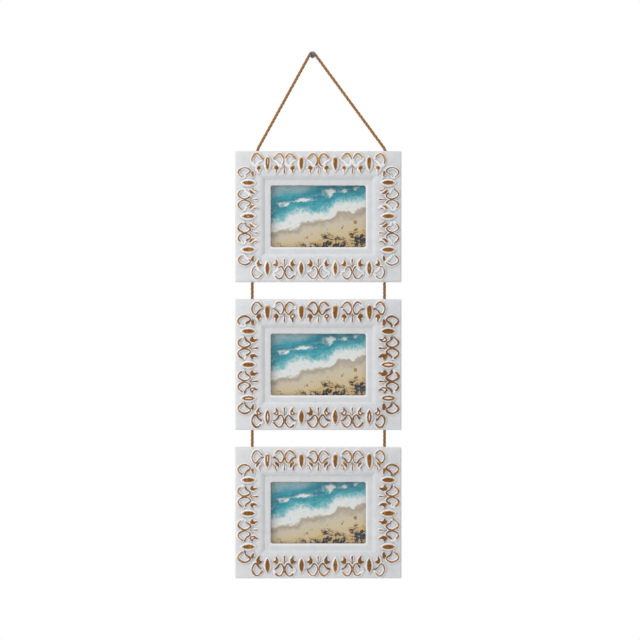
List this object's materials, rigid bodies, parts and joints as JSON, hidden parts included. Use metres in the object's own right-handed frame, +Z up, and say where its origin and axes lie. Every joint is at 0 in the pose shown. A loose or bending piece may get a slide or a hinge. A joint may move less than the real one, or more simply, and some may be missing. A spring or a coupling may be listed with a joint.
{
  "type": "hanging collage photo frame",
  "caption": "Carved white photo frames hung one below another on a jute rope from a wall nail, each with glass, a print and a backing held by turn buttons.",
  "frame": {"origin": "on the nail's axis, in the plane of the wall", "axes": "+X right and +Z up as seen from the room, +Y into the wall along the nail, so the frames face -Y"},
  "size_m": [0.25, 0.049, 0.7919],
  "materials": {
    "white_paint": "satin white paint on fibreboard",
    "worn_relief": "white paint rubbed through to brown",
    "glass": "clear",
    "print": "satin photo paper",
    "backing": "plain hardboard",
    "steel": "zinc plated",
    "nail": "dark blued",
    "rope": "twisted natural jute"
  },
  "bodies": {
    "wall_nail": {"wall_nail": "nail"},
    "hanger": {"hanger_rope": "rope"},
    "top_frame": {"top_moulding": "white_paint", "top_ornament": "worn_relief", "top_glass": "glass", "top_print": "print", "top_backing": "backing", "top_button_screws": "steel", "top_rope_staples": "steel", "top_back_rope_left": "rope", "top_back_rope_right": "rope"},
    "top_button_1": {"top_button_1": "steel"},
    "top_button_2": {"top_button_2": "steel"},
    "middle_frame": {"middle_moulding": "white_paint", "middle_ornament": "worn_relief", "middle_glass": "glass", "middle_print": "print", "middle_backing": "backing", "middle_button_screws": "steel", "middle_rope_staples": "steel", "middle_back_rope_left": "rope", "middle_back_rope_right": "rope"},
    "upper_link": {"upper_link_left": "rope", "upper_link_right": "rope"},
    "middle_button_1": {"middle_button_1": "steel"},
    "middle_button_2": {"middle_button_2": "steel"},
    "bottom_frame": {"bottom_moulding": "white_paint", "bottom_ornament": "worn_relief", "bottom_glass": "glass", "bottom_print": "print", "bottom_backing": "backing", "bottom_button_screws": "steel", "bottom_rope_staples": "steel", "bottom_back_rope_left": "rope", "bottom_back_rope_right": "rope"},
    "lower_link": {"lower_link_left": "rope", "lower_link_right": "rope"},
    "bottom_button_1": {"bottom_button_1": "steel"},
    "bottom_button_2": {"bottom_button_2": "steel"}
  },
  "joints": [
    {"name": "hanger_sway", "type": "hinge", "parent": "wall_nail", "child": "hanger", "pos_m": [0, -0.0031, 0], "axis": [0, 1, 0], "range_deg": [-25, 25]},
    {"name": "top_frame_tilt", "type": "hinge", "parent": "hanger", "child": "top_frame", "pos_m": [0.009, -0.0031, -0.1427], "axis": [-1, 0, 0], "range_deg": [0, 60]},
    {"name": "top_button_1_turn", "type": "hinge", "parent": "top_frame", "child": "top_button_1", "pos_m": [0.009, -0.0052, -0.1842], "axis": [0, 1, 0], "range_deg": [-90, 90]},
    {"name": "top_button_2_turn", "type": "hinge", "parent": "top_frame", "child": "top_button_2", "pos_m": [0.009, -0.0052, -0.3028], "axis": [0, 1, 0], "range_deg": [-90, 90]},
    {"name": "upper_link_swing", "type": "hinge", "parent": "top_frame", "child": "upper_link", "pos_m": [0.009, -0.0031, -0.3443], "axis": [-1, 0, 0], "range_deg": [-60, 20]},
    {"name": "middle_frame_tilt", "type": "hinge", "parent": "upper_link", "child": "middle_frame", "pos_m": [0.009, -0.0031, -0.3647], "axis": [-1, 0, 0], "range_deg": [0, 60]},
    {"name": "middle_button_1_turn", "type": "hinge", "parent": "middle_frame", "child": "middle_button_1", "pos_m": [0.009, -0.0052, -0.4062], "axis": [0, 1, 0], "range_deg": [-90, 90]},
    {"name": "middle_button_2_turn", "type": "hinge", "parent": "middle_frame", "child": "middle_button_2", "pos_m": [0.009, -0.0052, -0.5248], "axis": [0, 1, 0], "range_deg": [-90, 90]},
    {"name": "lower_link_swing", "type": "hinge", "parent": "middle_frame", "child": "lower_link", "pos_m": [0.009, -0.0031, -0.5663], "axis": [-1, 0, 0], "range_deg": [-60, 20]},
    {"name": "bottom_frame_tilt", "type": "hinge", "parent": "lower_link", "child": "bottom_frame", "pos_m": [0.009, -0.0031, -0.5867], "axis": [-1, 0, 0], "range_deg": [0, 60]},
    {"name": "bottom_button_1_turn", "type": "hinge", "parent": "bottom_frame", "child": "bottom_button_1", "pos_m": [0.009, -0.0052, -0.6282], "axis": [0, 1, 0], "range_deg": [-90, 90]},
    {"name": "bottom_button_2_turn", "type": "hinge", "parent": "bottom_frame", "child": "bottom_button_2", "pos_m": [0.009, -0.0052, -0.7468], "axis": [0, 1, 0], "range_deg": [-90, 90]}
  ]
}
